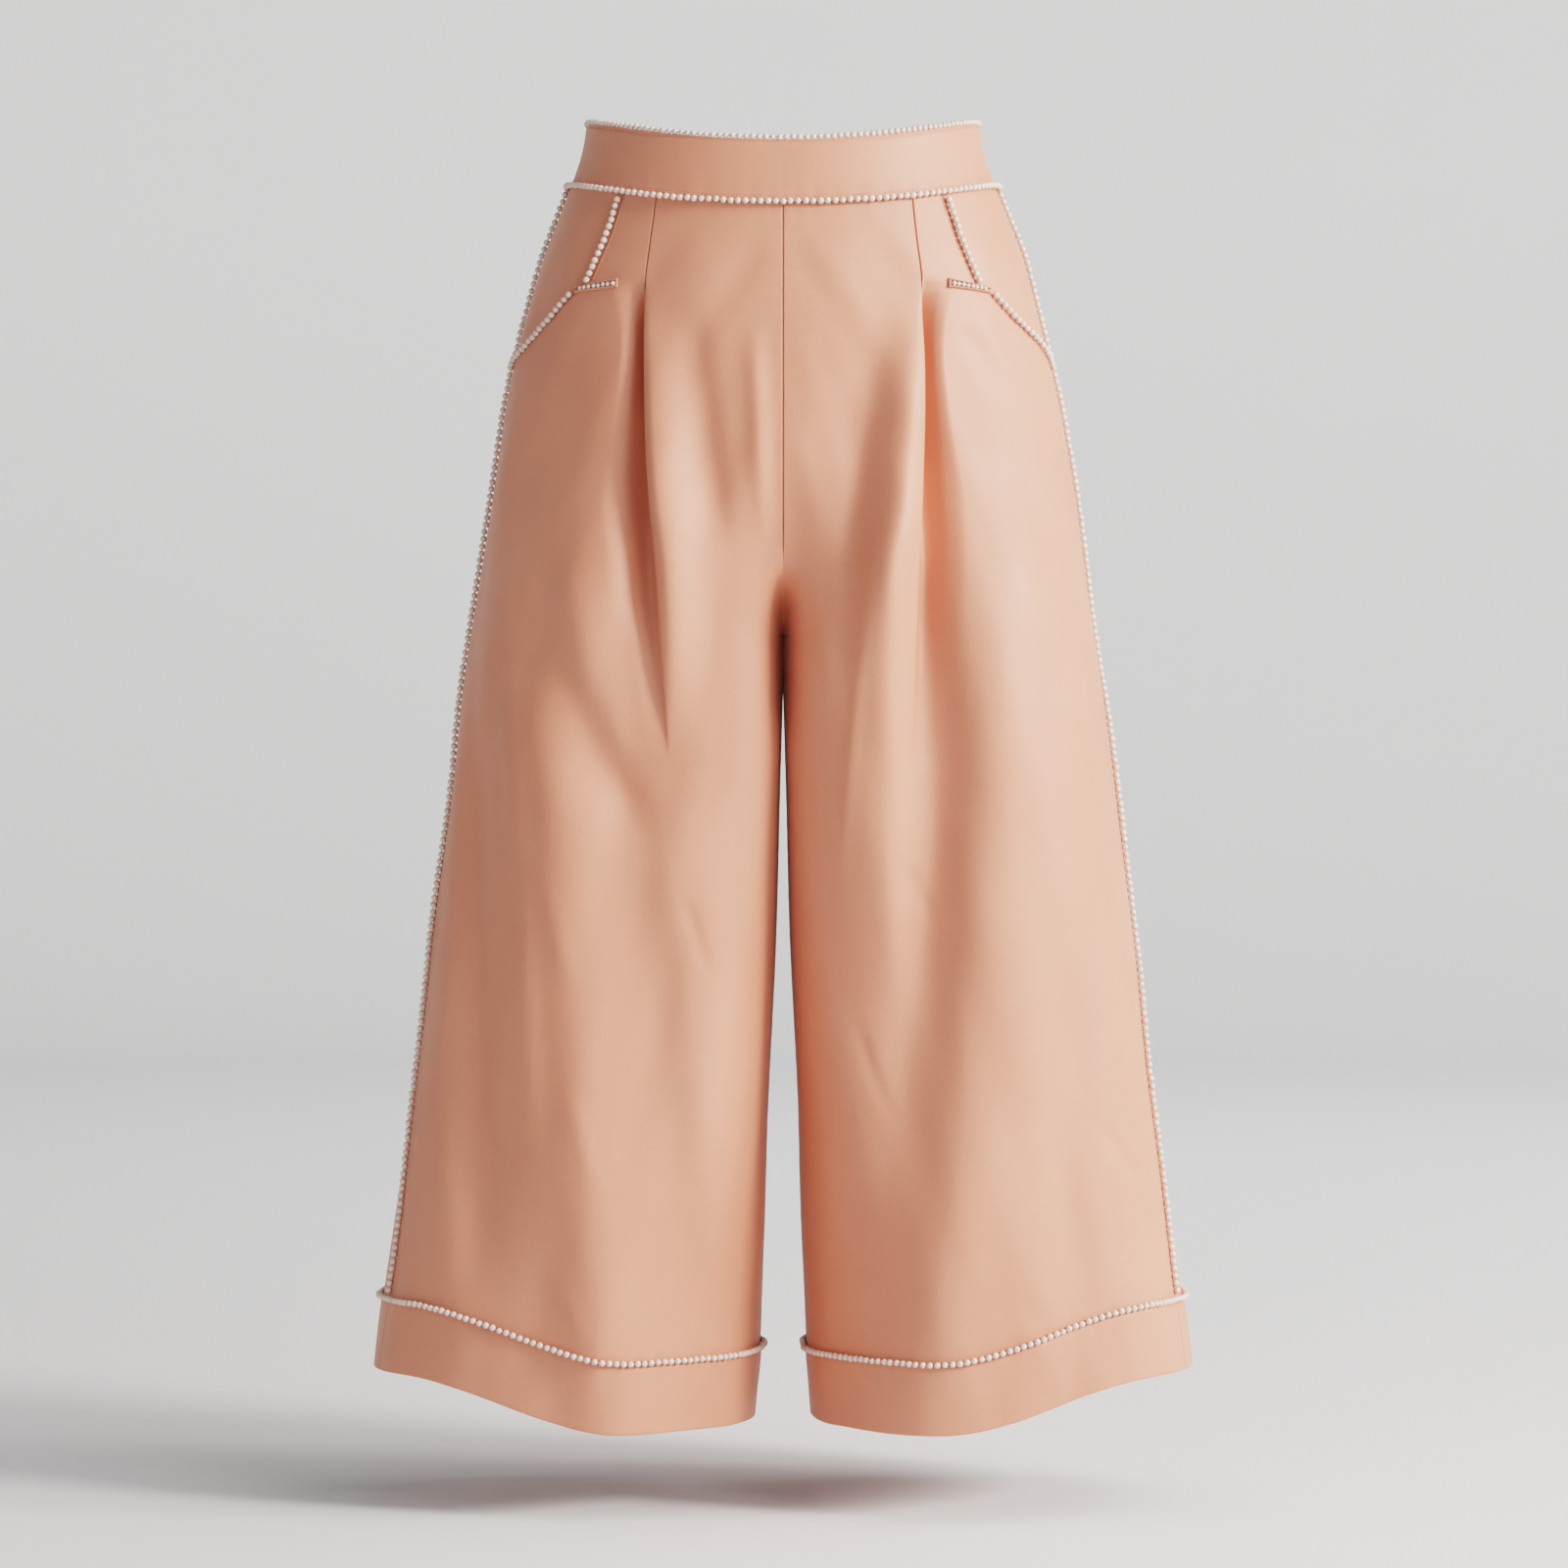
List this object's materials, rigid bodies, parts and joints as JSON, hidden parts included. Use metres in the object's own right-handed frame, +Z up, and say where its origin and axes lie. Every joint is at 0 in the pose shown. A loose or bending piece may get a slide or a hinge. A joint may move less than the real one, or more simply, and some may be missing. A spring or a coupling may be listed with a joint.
{
  "type": "culottes",
  "caption": "Wide cropped trousers with a shaped waistband, front pleats, slant pockets, deep hem bands and bead trim along the seams.",
  "frame": {"origin": "middle of the waist seam's ring, at the height of the side seams' upper ends", "axes": "+Z up, -Y to the front of the garment, +X to the wearer's left"},
  "size_m": [0.5196, 0.2416, 0.8237],
  "materials": {
    "cloth": "peach crepe with a fine smooth weave and a soft satin sheen",
    "pearl": "imitation pearl, glossy warm white",
    "zip_tape": "woven tape dyed to match",
    "zip_metal": "lacquered to match the cloth"
  },
  "bodies": {
    "garment": {"front_left": "cloth", "front_right": "cloth", "back_left": "cloth", "back_right": "cloth", "pocket_facing_left": "cloth", "pocket_facing_right": "cloth", "pocket_welt_left": "cloth", "pocket_welt_right": "cloth", "waistband_front": "cloth", "waistband_back_left": "cloth", "waistband_back_right": "cloth", "hem_front_left": "cloth", "hem_front_right": "cloth", "hem_back_left": "cloth", "hem_back_right": "cloth", "beads_waist_top": "pearl", "beads_waist_seam": "pearl", "beads_side_left": "pearl", "beads_side_right": "pearl", "beads_hem_left": "pearl", "beads_hem_right": "pearl", "beads_pocket_upper_left": "pearl", "beads_pocket_upper_right": "pearl", "beads_pocket_lower_left": "pearl", "beads_pocket_lower_right": "pearl", "beads_welt_left": "pearl", "beads_welt_right": "pearl", "zip_tape": "zip_tape", "zip_slider": "zip_metal"},
    "zip_pull": {"zip_pull": "zip_metal"}
  },
  "joints": [
    {"name": "zip_pull_swing", "type": "hinge", "parent": "garment", "child": "zip_pull", "pos_m": [0, 0.09137, 0.0295], "axis": [1, 0, 0], "range_deg": [0, 150]}
  ]
}
